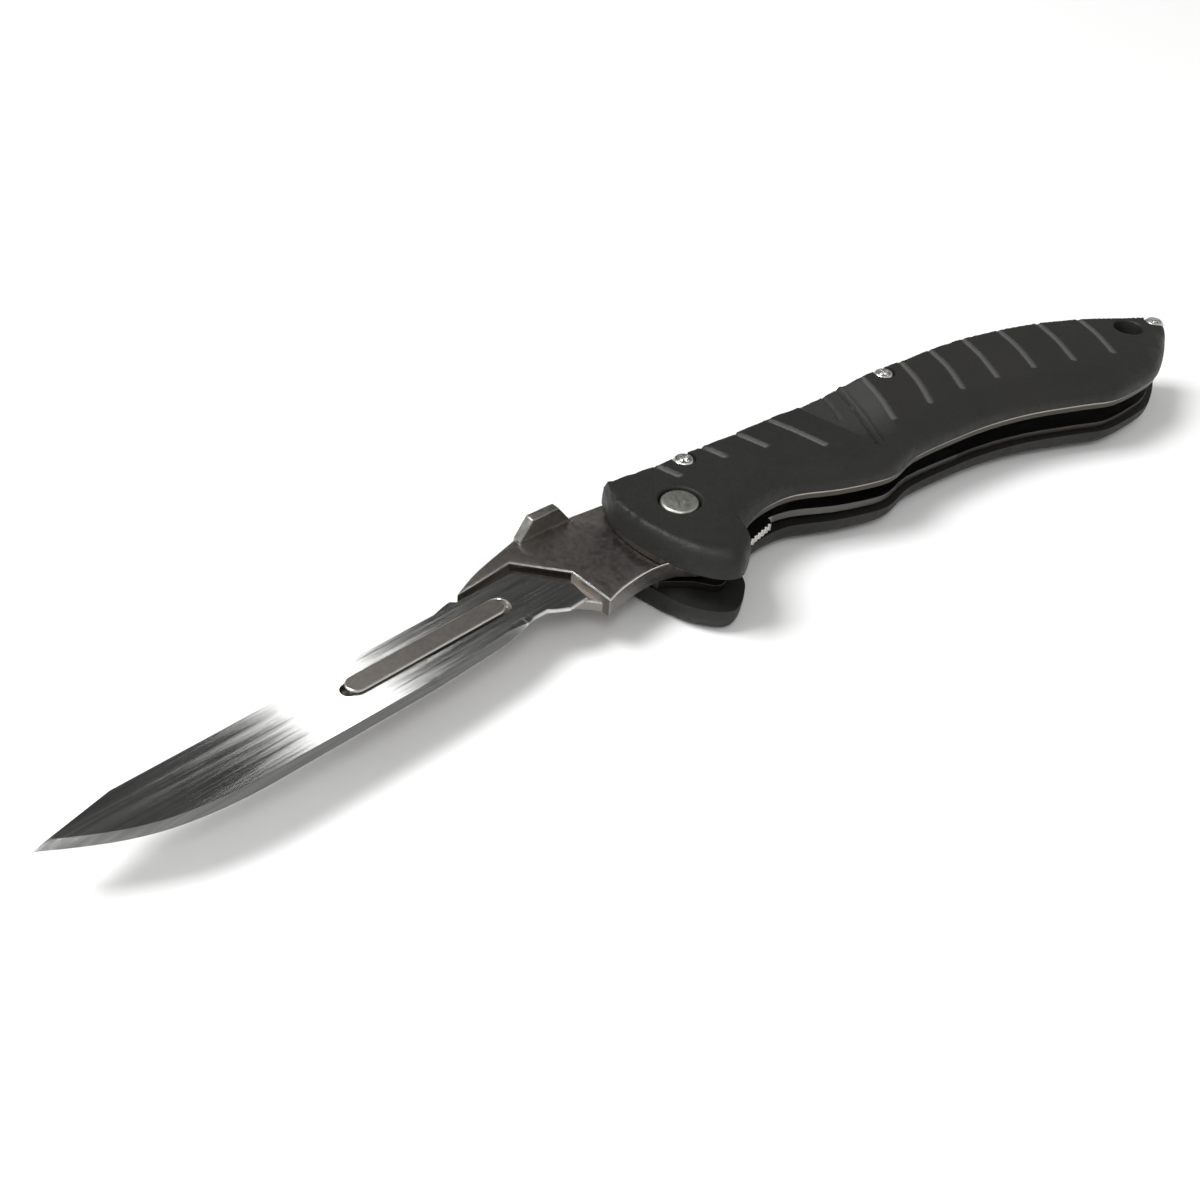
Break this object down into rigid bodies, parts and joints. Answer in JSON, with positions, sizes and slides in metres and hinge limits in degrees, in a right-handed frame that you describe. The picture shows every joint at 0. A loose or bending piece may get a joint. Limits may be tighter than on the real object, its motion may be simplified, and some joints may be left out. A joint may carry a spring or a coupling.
{
  "type": "folding whittling knife",
  "caption": "Folding whittling knife: grooved plastic scales over steel liners, liner lock, and a thin replaceable blade clipped on a rail.",
  "frame": {"origin": "bottom centre of the opened knife's bounding box, lying on its back scale", "axes": "+X from the blade tip to the butt, +Y from the cutting edge to the spine, +Z out of the front scale"},
  "size_m": [0.188, 0.0296, 0.0127],
  "materials": {
    "scale": "fine-pebbled moulded plastic, near black",
    "liner": "blanked stainless sheet, satin",
    "lock": "hardened stainless sheet, bright cut edge",
    "ball": "polished hardened steel",
    "standoff": "turned steel",
    "pivot": "bead-blasted steel, bright rim",
    "washer": "phosphor bronze",
    "holder": "bead-blasted dark stainless steel",
    "blade": "lengthwise-polished stainless steel",
    "thumb": "bead-blasted dark steel",
    "screw": "polished nickel-plated steel"
  },
  "bodies": {
    "handle": {"back_scale": "scale", "front_scale": "scale", "back_liner": "liner", "front_liner": "liner", "standoff_front": "standoff", "standoff_middle": "standoff", "standoff_rear": "standoff", "pivot_barrel": "pivot", "pivot_screw": "pivot", "back_washer": "washer", "front_washer": "washer", "front_screw_1": "screw", "front_screw_2": "screw", "front_screw_3": "screw", "back_screw_1": "screw", "back_screw_2": "screw", "back_screw_3": "screw"},
    "carrier": {"blade_holder": "holder", "blade": "blade", "thumb_plate": "thumb", "thumb_plate_screw": "screw"},
    "lock": {"lock_leaf": "lock", "detent_ball": "ball"}
  },
  "joints": [
    {"name": "blade_fold", "type": "hinge", "parent": "handle", "child": "carrier", "pos_m": [-0.0052, 0.00308, 0.00635], "axis": [0, 0, 1], "range_deg": [0, 176]},
    {"name": "lock_flex", "type": "hinge", "parent": "handle", "child": "lock", "pos_m": [0.0448, -0.00392, 0.00425], "axis": [0, -1, 0], "range_deg": [0, 1.62], "deforming": ["lock_leaf", "detent_ball"]}
  ],
  "couplings": [
    {"joint": "lock_flex", "follows": "blade_fold", "ratio": 0.00915}
  ]
}
